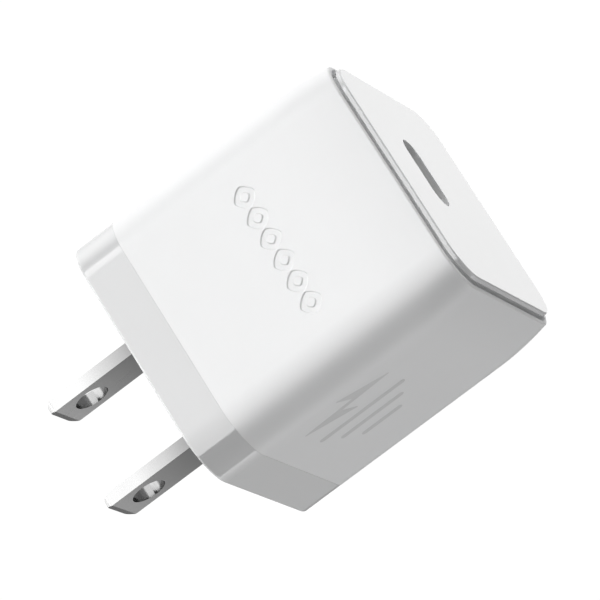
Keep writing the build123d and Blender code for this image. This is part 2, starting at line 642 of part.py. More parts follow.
# Copper spreader under the board.
with BuildPart() as heat_spreader:
    block((-4.0, 7.0), (10.0, 25.0), (BOARD_BOTTOM - 2.35, BOARD_BOTTOM - 1.9))
    fillet(heat_spreader.edges().filter_by(Axis.Z), 0.8)
heat_spreader.part.label = "heat_spreader"

# Insulating film between the spreader and the sleeve.
with BuildPart() as insulating_sheet:
    block(around(0, 20.0), (9.2, 29.6), (BOARD_BOTTOM - 2.7, BOARD_BOTTOM - 2.4))
insulating_sheet.part.label = "insulating_sheet"

# Barrier film between the transformer and the port board.
with BuildPart() as barrier_sheet:
    block(around(0, 24.0), (25.4, 25.65), (BOARD_TOP + 0.05, 5.2))
barrier_sheet.part.label = "barrier_sheet"

# ---------------------------------------------------------------- one STEP file for each piece
PIECES = (
    housing_sleeve, plug_end_cap, front_panel,
    blade_left, blade_right, blade_carrier, contact_spring_left, contact_spring_right,
    main_board, port_board, usb_c_shell, usb_c_tongue, usb_c_contacts,
    transformer_core_lower, transformer_core_upper, transformer_bobbin,
    primary_winding, winding_insulation, secondary_winding, transformer_tape, transformer_pins,
    bulk_capacitor_front, bulk_capacitor_rear, capacitor_seals, capacitor_leads,
    choke_core, choke_windings, choke_base, x_capacitor, input_fuse, surge_thermistor, component_leads,
    bridge_rectifier, gan_power_ic, optocoupler, y_capacitor,
    sync_rectifier_ic, pd_controller_ic, output_switch, output_capacitors, chip_capacitors, chip_resistors,
    thermal_pad, heat_spreader, insulating_sheet, barrier_sheet,
)
for piece in PIECES:
    export_step(piece.part, f"parts/{piece.part.label}.step")
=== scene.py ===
import itertools
import json
import math

import bmesh
import bpy
from mathutils import Matrix, Vector


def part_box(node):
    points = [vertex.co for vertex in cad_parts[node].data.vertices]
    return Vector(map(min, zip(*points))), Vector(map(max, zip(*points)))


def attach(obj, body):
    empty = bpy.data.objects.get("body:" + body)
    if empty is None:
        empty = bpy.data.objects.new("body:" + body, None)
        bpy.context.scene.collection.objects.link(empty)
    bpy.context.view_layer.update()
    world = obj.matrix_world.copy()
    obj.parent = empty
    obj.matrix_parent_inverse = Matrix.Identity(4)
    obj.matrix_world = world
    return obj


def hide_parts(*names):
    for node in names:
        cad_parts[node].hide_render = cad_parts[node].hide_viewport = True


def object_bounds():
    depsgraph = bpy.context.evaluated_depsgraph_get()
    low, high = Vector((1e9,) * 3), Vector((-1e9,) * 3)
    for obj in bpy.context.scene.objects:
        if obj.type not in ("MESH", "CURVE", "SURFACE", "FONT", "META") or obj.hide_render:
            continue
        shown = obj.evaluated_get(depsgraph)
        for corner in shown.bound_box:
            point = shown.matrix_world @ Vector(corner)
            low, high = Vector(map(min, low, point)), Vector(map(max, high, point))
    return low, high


# Looks of a compact wall-plug power adapter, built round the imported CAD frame.
# Shapes are given in millimetres and become metres when a mesh is made. The camera, the lights
# and the floor's falloff are given in metres.
# +Y is the way the blades point, -Y the outlet end, +Z the marked front face.

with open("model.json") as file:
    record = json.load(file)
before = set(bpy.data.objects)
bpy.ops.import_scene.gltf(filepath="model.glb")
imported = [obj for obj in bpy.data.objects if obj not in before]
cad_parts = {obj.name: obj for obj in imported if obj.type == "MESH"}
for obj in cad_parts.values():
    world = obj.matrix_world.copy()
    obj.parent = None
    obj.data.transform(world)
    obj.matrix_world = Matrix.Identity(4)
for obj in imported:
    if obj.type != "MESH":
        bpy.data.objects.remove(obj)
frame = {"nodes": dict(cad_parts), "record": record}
CAD_LOW, CAD_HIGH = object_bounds()

MM = 0.001

# ---------------------------------------------------------------- dimensions read from the frame
def box_mm(node):
    """Lowest and highest corner of a CAD node, in millimetres."""
    low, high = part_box(node)
    return low / MM, high / MM


SLEEVE_LOW, SLEEVE_HIGH = box_mm("housing_sleeve")
CAP_LOW, CAP_HIGH = box_mm("plug_end_cap")
PANEL_LOW, PANEL_HIGH = box_mm("front_panel")
BLADE_LOW, BLADE_HIGH = box_mm("blade_right")
SHELL_LOW, SHELL_HIGH = box_mm("usb_c_shell")
BOARD_LOW, BOARD_HIGH = box_mm("main_board")

BODY_HALF = SLEEVE_HIGH.x
SEAM_Y = SLEEVE_HIGH.y
RIM_Y = SLEEVE_LOW.y
PANEL_HALF = PANEL_HIGH.x
PANEL_Y = PANEL_LOW.y
PORT_X = (SHELL_LOW.x + SHELL_HIGH.x) / 2
PORT_Z = (SHELL_LOW.z + SHELL_HIGH.z) / 2
BLADE_X = (BLADE_LOW.x + BLADE_HIGH.x) / 2
BLADE_HALF_THICKNESS = (BLADE_HIGH.x - BLADE_LOW.x) / 2
BLADE_TOP = BLADE_HIGH.y

# ---------------------------------------------------------------- shape details
# casing: walls, the fine seam between sleeve and cap, and the cap's spigot
CORNER_RADIUS = 5.2
SEAM_GAP = 0.01
CAP_Y = SEAM_Y + SEAM_GAP
SEAM_ROUND = 0.02
PLUG_EDGE_RADIUS = 0.3
PLUG_WALL = 2.0
WALL = 1.8
SPIGOT_GAP = 0.1
SPIGOT_WALL = 1.1

# outlet end: crowned sleeve, rim, the groove round the panel and its seat
CROWN_LENGTH = 6.7
CROWN_INSET = 0.68
RIM_ACROSS = 0.36
RIM_ALONG = 0.3
GROOVE_WIDTH = 0.35
GROOVE_DEPTH = 1.1
GROOVE_ROUND = 0.06
END_WALL = 1.6

# panel: bevelled plate, narrower neck, and the stem that snaps in with four hooks
PANEL_RADIUS = 4.0
PANEL_BEVEL = 0.15
PANEL_PLATE = 0.58
PANEL_NECK_INSET = 0.35
PANEL_EDGE = 0.05
STEM_HALF = 11.7
STEM_WALL = 1.2
STEM_RADIUS = 2.3
STEM_BORE_RADIUS = 1.1
STEM_GAP = 0.1
HOOK_HALF_WIDTH = 3.0
HOOK_GAP = 0.1
HOOK_END = 0.85
HOOK_ROOT = 0.2
HOOK_REACH = 0.4
HOOK_BEVEL = 0.12

# rails that hold the main board in the sleeve
RAIL_Y = (-28.0, -10.0)
RAIL_GAP = 0.05
RAIL_LOWER = 0.9
RAIL_UPPER = 0.75
RAIL_OVERLAP = 0.15
RAIL_SINK = 0.1
RAIL_BEVEL = 0.1

# port slot
PORT_HALF_LENGTH = 4.45
PORT_RADIUS = 1.875
PORT_LIP = 0.06
PORT_OVERCUT = 0.1
PORT_OVERRUN = 1.0

# blades, and their slots in the plug face
BLADE_HALF_WIDTH = 3.175
BLADE_HOLE_RADIUS = 2.0
BLADE_HOLE_Y = 10.45
BLADE_TIP_RADIUS = 1.15
BLADE_BEVEL_LENGTH = 0.8
BLADE_BEVEL_DEPTH = 0.4
BLADE_EDGE = 0.07
BLADE_FIT = 0.05
SLOT_CORNER = 0.12
# (widening, y) of a slot from outside to inside, with its lead-in
SLOT_STAGES = ((0.25, 0.1), (0.12, 0.0), (0.0, -0.12), (0.0, -PLUG_WALL - 0.5))
SHOULDER_HALF_WIDTH = 4.2
SHOULDER_END = -3.2
TAIL_HALF_WIDTH = 2.0

# recessed mark on the front face
MARK_DEPTH = 0.14
MARK_DRAFT = 0.14
MARK_OVERCUT = 0.02
MARK_STROKE = 0.6
MARK_Y = -19.45
MARK_COUNT = 6
MARK_PITCH = 2.8
MARK_HALF = 1.23
MARK_POWER = 1.45

# printed mark in (Y, Z): the bolt's corners, and each bar as (Z, start, end)
INK_THICKNESS = 0.02
BOLT = [(-8.9, 7.6), (-15.6, 5.2), (-14.1, 7.3), (-21.2, 7.9), (-14.5, 10.3), (-16.0, 8.2)]
BOLT_CORNER = 0.12
BARS = ((3.4, -9.4, -20.8), (0.5, -10.9, -19.3), (-2.4, -12.4, -17.8))
BAR_HALF = 0.45
BAR_ROUND = BAR_HALF * 0.98

# fineness of the curves
CORNER_STEPS = 28
ROUND_STEPS = 4
CROWN_STEPS = 14
RIM_STEPS = 8
PLUG_EDGE_STEPS = 12
PORT_STEPS = 24
SMALL_STEPS = 4
BAR_STEPS = 8
BLADE_TIP_STEPS = 14
CIRCLE_STEPS = 72
EDGE_SEGMENTS = 2
BLADE_EDGE_SEGMENTS = 3
WELD = 1e-7  # metres

# angles in degrees: above the first two an edge keeps a sharp line under smooth shading, and
# above the last the blades' edges are bevelled
SHARP = 32.0
BLADE_SHARP = 12.0
BEVELLED = 40.0


# ---------------------------------------------------------------- mesh helpers
def make_object(name, points, faces):
    """Mesh object from millimetre points."""
    mesh = bpy.data.meshes.new(name)
    mesh.from_pydata([Vector(p) * MM for p in points], [], faces)
    mesh.validate()
    made = bpy.data.objects.new(name, mesh)
    bpy.context.scene.collection.objects.link(made)
    tidy_normals(mesh)
    return made


def tidy_normals(mesh):
    """Welds doubled points and turns every face outwards."""
    work = bmesh.new()
    work.from_mesh(mesh)
    bmesh.ops.remove_doubles(work, verts=work.verts, dist=WELD)
    bmesh.ops.recalc_face_normals(work, faces=work.faces)
    work.to_mesh(mesh)
    work.free()


def square_ring(half, radius, y):
    """Rounded square in a plane across the body, as points going once round."""
    centre = half - radius
    ring = []
    for quarter in range(4):
        for step in range(CORNER_STEPS + 1):
            angle = math.radians(90 * (quarter + step / CORNER_STEPS))
            corner = math.radians(90 * quarter + 45)
            x = math.copysign(centre, math.cos(corner)) + radius * math.cos(angle)
            z = math.copysign(centre, math.sin(corner)) + radius * math.sin(angle)
            ring.append((x, y, z))
    return ring


def loft(name, rings, closed):
    """Skin over rings of equal count: joined last to first, or capped at both ends."""
    count = len(rings[0])
    points = [p for ring in rings for p in ring]
    faces = []
    spans = len(rings) if closed else len(rings) - 1
    for index in range(spans):
        here, there = index * count, (index + 1) % len(rings) * count
        for k in range(count):
            following = (k + 1) % count
            faces.append((here + k, here + following, there + following, there + k))
    if not closed:
        faces.append(tuple(range(count)))
        faces.append(tuple(range(len(points) - count, len(points))))
    return make_object(name, points, faces)


def quarter_round(radius, steps=ROUND_STEPS):
    """Pairs (across, along) that go round a convex edge, from 0, 0 to radius, radius."""
    turns = [math.pi / 2 * step / steps for step in range(steps + 1)]
    return [(radius * (1 - math.cos(t)), radius * (1 - math.sin(t))) for t in turns]


def apply_modifiers(made):
    """Keeps the modified mesh as the object's own."""
    graph = bpy.context.evaluated_depsgraph_get()
    mesh = bpy.data.meshes.new_from_object(made.evaluated_get(graph))
    made.modifiers.clear()
    made.data = mesh
    return made


def cut(made, cutters):
    """Subtracts the cutters from the object and removes them."""
    for cutter in cutters:
        difference = made.modifiers.new("cut", "BOOLEAN")
        difference.operation = "DIFFERENCE"
        difference.solver = "EXACT"
        difference.object = cutter
    apply_modifiers(made)
    for cutter in cutters:
        bpy.data.objects.remove(cutter)
    return made


def smooth(made, sharp_degrees=SHARP):
    """Smooth shading that keeps flat faces flat and breaks at sharp edges."""
    mesh = made.data
    work = bmesh.new()
    work.from_mesh(mesh)
    bmesh.ops.dissolve_degenerate(work, dist=WELD, edges=work.edges)
    for face in work.faces:
        face.smooth = True
    for edge in work.edges:
        edge.smooth = edge.calc_face_angle(0.0) < math.radians(sharp_degrees)
    work.to_mesh(mesh)
    work.free()
    weighted = made.modifiers.new("weighted_normals", "WEIGHTED_NORMAL")
    weighted.keep_sharp = True
    return apply_modifiers(made)


def join(first, others):
    """Adds the other objects' meshes to the first and removes them."""
    work = bmesh.new()
    for part in [first, *others]:
        work.from_mesh(part.data)
    work.to_mesh(first.data)
    work.free()
    for part in others:
        bpy.data.objects.remove(part)
    return first


def cuboid(name, low, high, bevel):
    """Box between two corners with broken edges."""
    points = list(itertools.product(*zip(low, high)))
    faces = [(0, 1, 3, 2), (4, 6, 7, 5), (0, 4, 5, 1), (2, 3, 7, 6), (0, 2, 6, 4), (1, 5, 7, 3)]
    made = make_object(name, points, faces)
    edges = made.modifiers.new("edges", "BEVEL")
    edges.width = bevel * MM
    edges.segments = EDGE_SEGMENTS
    return apply_modifiers(made)


def plate(name, loops, thickness, lay, pinch=None):
    """Flat plate from closed 2-D loops, the later ones holes.

    lay(u, v, w) puts a point in space. pinch is (v, function of v giving half thickness): the plate
    gets an edge line at that v.
    """
    work = bmesh.new()
    for loop in loops:
        ring = [work.verts.new((u, v, 0)) for u, v in loop]
        for a, b in zip(ring, ring[1:] + ring[:1]):
            work.edges.new((a, b))
    bmesh.ops.triangle_fill(work, use_beauty=True, edges=work.edges[:])
    if pinch:
        everything = work.verts[:] + work.edges[:] + work.faces[:]
        bmesh.ops.bisect_plane(work, geom=everything, plane_co=(0, pinch[0], 0), plane_no=(0, 1, 0))
    work.verts.index_update()
    flat = [(v.co.x, v.co.y) for v in work.verts]
    faces = [tuple(v.index for v in f.verts) for f in work.faces]
    rim = [tuple(v.index for v in e.verts) for e in work.edges if len(e.link_faces) == 1]
    work.free()
    count = len(flat)
    points = []
    for side in (1, -1):
        for u, v in flat:
            half = pinch[1](v) if pinch else thickness / 2
            points.append(lay(u, v, side * half))
    sides = [(a, b, b + count, a + count) for a, b in rim]
    under = [tuple(i + count for i in f) for f in faces]
    return make_object(name, points, faces + under + sides)


def circle_loop(u, v, radius):
    """Circle as a 2-D loop."""
    turns = [2 * math.pi * k / CIRCLE_STEPS for k in range(CIRCLE_STEPS)]
    return [(u + radius * math.cos(t), v + radius * math.sin(t)) for t in turns]


def rounded_polygon(corners, radii, steps):
    """2-D loop through the corners, each rounded with its own radius."""
    loop = []
    count = len(corners)
    for index, corner in enumerate(corners):
        here = Vector(corner)
        back = (Vector(corners[index - 1]) - here).normalized()
        ahead = (Vector(corners[(index + 1) % count]) - here).normalized()
        radius = radii[index]
        if radius <= 0:
            loop.append(tuple(here))
            continue
        half = back.angle(ahead) / 2
        centre = here + (back + ahead).normalized() * radius / math.sin(half)
        start = here + back * radius / math.tan(half) - centre
        end = here + ahead * radius / math.tan(half) - centre
        for step in range(steps + 1):
            loop.append(tuple(centre + start.slerp(end, step / steps).normalized() * radius))
    return loop


# ---------------------------------------------------------------- casing
def body_ring(inset, y):
    """Outline of the casing, moved in by an inset."""
    return square_ring(BODY_HALF - inset, CORNER_RADIUS - inset, y)


def make_sleeve():
    """Matte sleeve in one skin, from the rounded seam edge to the inner walls, and its rails."""
    groove_half = PANEL_HALF + GROOVE_WIDTH
    groove_radius = PANEL_RADIUS + GROOVE_WIDTH
    seat_y = RIM_Y + GROOVE_DEPTH
    cavity_half, cavity_radius = BODY_HALF - WALL, CORNER_RADIUS - WALL
    rings = []
    for across, along in reversed(quarter_round(SEAM_ROUND)):
        rings.append(body_ring(across, SEAM_Y - along))
    crown_start = RIM_Y + RIM_ALONG + CROWN_LENGTH
    for step in range(CROWN_STEPS + 1):
        share = step / CROWN_STEPS
        rings.append(body_ring(CROWN_INSET * share**2, crown_start - CROWN_LENGTH * share))
    for step in range(1, RIM_STEPS + 1):
        turn = math.pi / 2 * step / RIM_STEPS
        across, along = RIM_ACROSS * (1 - math.cos(turn)), RIM_ALONG * math.sin(turn)
        rings.append(body_ring(CROWN_INSET + across, RIM_Y + RIM_ALONG - along))
    for across, along in reversed(quarter_round(GROOVE_ROUND)):
        rings.append(square_ring(groove_half + across, groove_radius + across, RIM_Y + along))
    rings.append(square_ring(groove_half, groove_radius, seat_y))
    for y in (seat_y, seat_y + END_WALL):
        rings.append(square_ring(STEM_HALF + STEM_GAP, STEM_RADIUS + STEM_GAP, y))
    rings.append(square_ring(cavity_half, cavity_radius, seat_y + END_WALL))
    rings.append(square_ring(cavity_half, cavity_radius, SEAM_Y))
    sleeve = loft("sleeve", rings, closed=True)
    rails = []
    lower = (BOARD_LOW.z - RAIL_LOWER, BOARD_LOW.z - RAIL_GAP)
    upper = (BOARD_HIGH.z + RAIL_GAP, BOARD_HIGH.z + RAIL_UPPER)
    for side in (-1, 1):
        x = sorted((side * (BOARD_HIGH.x - RAIL_OVERLAP), side * (cavity_half + RAIL_SINK)))
        for z in (lower, upper):
            low, high = zip(x, RAIL_Y, z)
            rails.append(cuboid("rail", low, high, RAIL_BEVEL))
    return sleeve, rails


def superellipse(u, v, half, power):
    """2-D loop between a diamond (power 1) and a square."""
    loop = []
    for k in range(CIRCLE_STEPS):
        t = 2 * math.pi * k / CIRCLE_STEPS
        c, s = math.cos(t), math.sin(t)
        reach = (abs(c) ** power + abs(s) ** power) ** (-1 / power)
        loop.append((u + half * reach * c, v + half * reach * s))
    return loop


def mark_cutter(outline, inner):
    """Shallow cutter with drafted walls, sunk into the front face.

    outline and inner give the loop for an offset.
    """
    top, floor = BODY_HALF + MARK_OVERCUT, BODY_HALF - MARK_DEPTH
    grow = MARK_DRAFT * (MARK_DEPTH + MARK_OVERCUT) / MARK_DEPTH
    rings = [
        [(x, y, top) for x, y in outline(grow)],
        [(x, y, floor) for x, y in outline(0)],
        [(x, y, floor) for x, y in inner(0)],
        [(x, y, top) for x, y in inner(grow)],
    ]
    return loft("cutter", rings, closed=True)


def make_mark_cutters():
    """Generic recessed mark on the front face: a row of outlined diamonds."""
    cutters = []
    for index in range(MARK_COUNT):
        x = (index - (MARK_COUNT - 1) / 2) * MARK_PITCH

        def outline(grow, x=x):
            return superellipse(x, MARK_Y, MARK_HALF + grow, MARK_POWER)

        def inner(grow, x=x):
            return superellipse(x, MARK_Y, MARK_HALF - MARK_STROKE - grow, MARK_POWER)

        cutters.append(mark_cutter(outline, inner))
    return cutters


def make_cap():
    """Glossy plug end: band, plug face with two blade slots, and the spigot inside the sleeve."""
    spigot_half = BODY_HALF - WALL - SPIGOT_GAP
    spigot_radius = CORNER_RADIUS - WALL - SPIGOT_GAP
    cavity_half, cavity_radius = spigot_half - SPIGOT_WALL, spigot_radius - SPIGOT_WALL
    rings = [
        square_ring(cavity_half, cavity_radius, -PLUG_WALL),
        square_ring(cavity_half, cavity_radius, CAP_LOW.y),
        square_ring(spigot_half, spigot_radius, CAP_LOW.y),
        square_ring(spigot_half, spigot_radius, CAP_Y),
    ]
    for across, along in reversed(quarter_round(SEAM_ROUND)):
        rings.append(body_ring(across, CAP_Y + along))
    for across, along in quarter_round(PLUG_EDGE_RADIUS, PLUG_EDGE_STEPS):
        rings.append(body_ring(across, CAP_HIGH.y - along))
    cap = loft("plug_cap", rings, closed=False)
    cutters = []
    signs = ((1, 1), (-1, 1), (-1, -1), (1, -1))
    for side in (-1, 1):
        slot_rings = []
        for grow, y in SLOT_STAGES:
            half_x = BLADE_HALF_THICKNESS + BLADE_FIT + grow
            half_z = BLADE_HALF_WIDTH + BLADE_FIT + grow
            corners = [(side * BLADE_X + a * half_x, b * half_z) for a, b in signs]
            loop = rounded_polygon(corners, [SLOT_CORNER + grow] * len(corners), SMALL_STEPS)
            slot_rings.append([(u, y, v) for u, v in loop])
        cutters.append(loft("cutter", slot_rings, closed=False))
    return cut(cap, cutters)


def stadium_ring(half_length, radius, y):
    """Round-ended slot outline round the outlet's axis."""
    reach = half_length - radius
    ring = []
    for side in (1, -1):
        for step in range(PORT_STEPS + 1):
            angle = math.radians(-90 + 180 * step / PORT_STEPS)
            x = PORT_X + side * (reach + radius * math.cos(angle))
            ring.append((x, y, PORT_Z + side * radius * math.sin(angle)))
    return ring


def make_panel():
    """Outlet panel: bevelled plate with the port slot, narrower neck, and stem with its hooks."""
    seat_y = RIM_Y + GROOVE_DEPTH
    plate_y = PANEL_Y + PANEL_PLATE
    neck_half, neck_radius = PANEL_HALF - PANEL_NECK_INSET, PANEL_RADIUS - PANEL_NECK_INSET
    inner_half = STEM_HALF - STEM_WALL
    rings = [
        square_ring(inner_half, STEM_BORE_RADIUS, seat_y),
        square_ring(inner_half, STEM_BORE_RADIUS, PANEL_HIGH.y),
        square_ring(STEM_HALF, STEM_RADIUS, PANEL_HIGH.y),
        square_ring(STEM_HALF, STEM_RADIUS, seat_y),
        square_ring(neck_half, neck_radius, seat_y),
        square_ring(neck_half, neck_radius, plate_y),
        square_ring(PANEL_HALF - PANEL_EDGE, PANEL_RADIUS - PANEL_EDGE, plate_y),
        square_ring(PANEL_HALF, PANEL_RADIUS, plate_y - PANEL_EDGE),
        square_ring(PANEL_HALF, PANEL_RADIUS, PANEL_Y + PANEL_BEVEL),
        square_ring(PANEL_HALF - PANEL_BEVEL, PANEL_RADIUS - PANEL_BEVEL, PANEL_Y),
    ]
    panel = loft("outlet_panel", rings, closed=False)
    stages = [(PORT_LIP + PORT_OVERCUT, -PORT_OVERCUT)]
    stages += reversed(quarter_round(PORT_LIP))
    stages.append((0.0, PANEL_HIGH.y - PANEL_Y + PORT_OVERRUN))
    slot_rings = []
    for grow, depth in stages:
        ring = stadium_ring(PORT_HALF_LENGTH + grow, PORT_RADIUS + grow, PANEL_Y + depth)
        slot_rings.append(ring)
    cut(panel, [loft("cutter", slot_rings, closed=False)])
    hooks = []
    y = (seat_y + END_WALL + HOOK_GAP, seat_y + END_WALL + HOOK_END)
    across = (-HOOK_HALF_WIDTH, HOOK_HALF_WIDTH)
    reach = (STEM_HALF - HOOK_ROOT, STEM_HALF + HOOK_REACH)
    for a, b in ((1, 0), (-1, 0), (0, 1), (0, -1)):
        x = sorted((a * reach[0], a * reach[1])) if a else across
        z = sorted((b * reach[0], b * reach[1])) if b else across
        low, high = zip(x, y, z)
        hooks.append(cuboid("hook", low, high, HOOK_BEVEL))
    return join(panel, hooks)


# ---------------------------------------------------------------- blades
def make_blade(name, side):
    """Nickel-plated blade: bevelled tip and hole, and behind the plug face a shoulder and tail."""
    corners = [
        (-TAIL_HALF_WIDTH, BLADE_LOW.y),
        (TAIL_HALF_WIDTH, BLADE_LOW.y),
        (TAIL_HALF_WIDTH, SHOULDER_END),
        (SHOULDER_HALF_WIDTH, SHOULDER_END),
        (SHOULDER_HALF_WIDTH, -PLUG_WALL),
        (BLADE_HALF_WIDTH, -PLUG_WALL),
        (BLADE_HALF_WIDTH, BLADE_TOP),
        (-BLADE_HALF_WIDTH, BLADE_TOP),
        (-BLADE_HALF_WIDTH, -PLUG_WALL),
        (-SHOULDER_HALF_WIDTH, -PLUG_WALL),
        (-SHOULDER_HALF_WIDTH, SHOULDER_END),
        (-TAIL_HALF_WIDTH, SHOULDER_END),
    ]
    radii = [BLADE_TIP_RADIUS if y == BLADE_TOP else 0.0 for _, y in corners]
    bevel_start = BLADE_TOP - BLADE_BEVEL_LENGTH

    def half_thickness(y):
        over = max(0.0, y - bevel_start) / BLADE_BEVEL_LENGTH
        return BLADE_HALF_THICKNESS - BLADE_BEVEL_DEPTH * over

    def lay(u, v, w):
        return (side * BLADE_X + w, v, u)

    outline = rounded_polygon(corners, radii, BLADE_TIP_STEPS)
    hole = circle_loop(0, BLADE_HOLE_Y, BLADE_HOLE_RADIUS)
    blade = plate(name, [outline, hole], 0, lay, (bevel_start, half_thickness))
    edges = blade.modifiers.new("edges", "BEVEL")
    edges.width = BLADE_EDGE * MM
    edges.segments = BLADE_EDGE_SEGMENTS
    edges.limit_method = "ANGLE"
    edges.angle_limit = math.radians(BEVELLED)
    return apply_modifiers(blade)


PUNCHED_FACING = 0.9
HOLE_MARGIN = 0.01
PUNCHED_INDEX = 1
HOLE_INDEX = 2


def mark_punched(blade):
    """Gives the narrow sides and the hole's wall, which the punch left, their own finishes."""
    blade.data.materials.append(PUNCHED_FINISH)
    blade.data.materials.append(HOLE_FINISH)
    for polygon in blade.data.polygons:
        _, y, z = polygon.center / MM
        if math.hypot(y - BLADE_HOLE_Y, z) < BLADE_HOLE_RADIUS + HOLE_MARGIN:
            polygon.material_index = HOLE_INDEX
        elif abs(polygon.normal.z) > PUNCHED_FACING:
            polygon.material_index = PUNCHED_INDEX


# ---------------------------------------------------------------- printed mark
def make_side_mark():
    """Generic printed power mark on the left face: a slim bolt and three graded bars."""

    def lay(u, v, w):
        return (w - BODY_HALF, u, v)

    outline = rounded_polygon(BOLT, [BOLT_CORNER] * len(BOLT), SMALL_STEPS)
    parts = [plate("side_mark", [outline], 2 * INK_THICKNESS, lay)]
    for z, start, end in BARS:
        below, above = z - BAR_HALF, z + BAR_HALF
        corners = [(start, below), (end, below), (end, above), (start, above)]
        loop = rounded_polygon(corners, [BAR_ROUND] * len(corners), BAR_STEPS)
        parts.append(plate("bar", [loop], 2 * INK_THICKNESS, lay))
    return join(parts[0], parts[1:])


# ---------------------------------------------------------------- materials
def new_material(name):
    """Node material with its tree and its Principled shader."""
    made = bpy.data.materials.new(name)
    made.use_nodes = True
    return made, made.node_tree, made.node_tree.nodes["Principled BSDF"]


def own_space(tree, stretch):
    """The object's own coordinates, in metres, scaled along each axis."""
    place = tree.nodes.new("ShaderNodeTexCoord")
    mapping = tree.nodes.new("ShaderNodeMapping")
    mapping.inputs["Scale"].default_value = stretch
    tree.links.new(place.outputs["Object"], mapping.inputs["Vector"])
    return mapping.outputs["Vector"]


UNSTRETCHED = (1, 1, 1)
NOISE_DETAIL = 3.0
NOISE_MIDDLE = (0.3, 0.7)
RIDGE_DETAIL = 1.0
RIDGE_DISTORTION = 0.4
WAVE_PHASE = 20  # radians per metre in a wave texture of scale 1


def noise(tree, size, stretch):
    """Noise with features of this many millimetres."""
    made = tree.nodes.new("ShaderNodeTexNoise")
    made.inputs["Scale"].default_value = 1 / (size * MM)
    made.inputs["Detail"].default_value = NOISE_DETAIL
    tree.links.new(own_space(tree, stretch), made.inputs["Vector"])
    return made.outputs["Fac"]


def stripes(tree, period, axis):
    """Rounded ridges across an axis, as of wound wire or woven glass, a period (mm) apart."""
    made = tree.nodes.new("ShaderNodeTexWave")
    made.bands_direction = axis
    made.inputs["Scale"].default_value = 2 * math.pi / (WAVE_PHASE * period * MM)
    made.inputs["Distortion"].default_value = RIDGE_DISTORTION
    made.inputs["Detail"].default_value = RIDGE_DETAIL
    tree.links.new(own_space(tree, UNSTRETCHED), made.inputs["Vector"])
    return made.outputs["Fac"]


def map_range(tree, value, source, result, shape="LINEAR"):
    """Maps a number from one (low, high) range to another, clamped."""
    made = tree.nodes.new("ShaderNodeMapRange")
    made.interpolation_type = shape
    for socket, number in zip(("From Min", "From Max", "To Min", "To Max"), (*source, *result)):
        made.inputs[socket].default_value = number
    tree.links.new(value, made.inputs["Value"])
    return made.outputs["Result"]


def vector_math(tree, operation, first, second=None):
    """Vector operation on a linked vector and, where given, a constant one."""
    made = tree.nodes.new("ShaderNodeVectorMath")
    made.operation = operation
    tree.links.new(first, made.inputs[0])
    if second:
        made.inputs[1].default_value = second
    return made.outputs["Value" if operation in ("LENGTH", "DOT_PRODUCT") else "Vector"]


def scaled(tree, vector, factor):
    """A linked vector or colour times a linked number."""
    made = tree.nodes.new("ShaderNodeVectorMath")
    made.operation = "SCALE"
    tree.links.new(vector, made.inputs[0])
    tree.links.new(factor, made.inputs["Scale"])
    return made.outputs["Vector"]


def spread(tree, fac, low, high):
    """Maps the middle of a noise to a range of numbers."""
    return map_range(tree, fac, NOISE_MIDDLE, (low, high))


def blend_colours(tree, fac, first, second):
    """Mix of two colours by a number."""
    made = tree.nodes.new("ShaderNodeMix")
    made.data_type = "RGBA"
    tree.links.new(fac, made.inputs["Factor"])
    colours = [i for i in made.inputs if i.type == "RGBA"]
    colours[0].default_value = (*first, 1.0)
    colours[1].default_value = (*second, 1.0)
    return next(o for o in made.outputs if o.type == "RGBA")


def painted_root_shade(tree, colour, start, end, darkest):
    """Colour with painted shade: darker at a blade's root, where the body shades it, and clearing
    along Y from start to end (mm).
    """
    parts = tree.nodes.new("ShaderNodeSeparateXYZ")
    tree.links.new(own_space(tree, UNSTRETCHED), parts.inputs["Vector"])
    fade = map_range(tree, parts.outputs["Y"], (start * MM, end * MM), (darkest, 1.0))
    return scaled(tree, colour, fade)


def relief(tree, shader, heights):
    """Fine relief from (height, depth in millimetres) pairs, one laid on the other."""
    normal = None
    for height, depth in heights:
        made = tree.nodes.new("ShaderNodeBump")
        made.inputs["Distance"].default_value = depth * MM
        tree.links.new(height, made.inputs["Height"])
        if normal:
            tree.links.new(normal, made.inputs["Normal"])
        normal = made.outputs["Normal"]
    tree.links.new(normal, shader.inputs["Normal"])


# the mottling of the roughness is this much finer than that of the colour
ROUGHNESS_FINER = 3


def surface(
    name, colours, roughness, grain, metallic=0.0, stretch=UNSTRETCHED,
    ior=1.5, patch=15.0, ridges=(), clear=0.0, root_shade=None,
):
    """General finish: two mottled colours, a roughness range and fine relief.

    grain is (size, depth) of the relief and patch the size of the mottling, in millimetres;
    stretch scales their coordinates, so a number below 1 draws them out along that axis; ridges
    are (axis, period, depth) of regular relief; clear is how much light passes through; the last
    argument is (start, end, darkest) of painted shade at a blade's root, where the body shades it.
    """
    made, tree, shader = new_material(name)
    shader.inputs["Metallic"].default_value = metallic
    shader.inputs["IOR"].default_value = ior
    shader.inputs["Transmission Weight"].default_value = clear
    colour = blend_colours(tree, spread(tree, noise(tree, patch, stretch), 0, 1), *colours)
    # painted shade: the colour darkens towards the blade's root, where the body shades it
    if root_shade:
        colour = painted_root_shade(tree, colour, *root_shade)
    tree.links.new(colour, shader.inputs["Base Color"])
    rough = spread(tree, noise(tree, patch / ROUGHNESS_FINER, stretch), *roughness)
    tree.links.new(rough, shader.inputs["Roughness"])
    heights = [(noise(tree, grain[0], stretch), grain[1])]
    heights += [(stripes(tree, period, axis), depth) for axis, period, depth in ridges]
    relief(tree, shader, heights)
    return made


def grey(value, tint=0.0):
    """Neutral colour; a tint above 0 is cooler."""
    return (value * (1 - tint), value, value * (1 + tint))


def greys(low, high, tint=0.0):
    """The two neutral colours of a mottled finish."""
    return grey(low, tint), grey(high, tint)


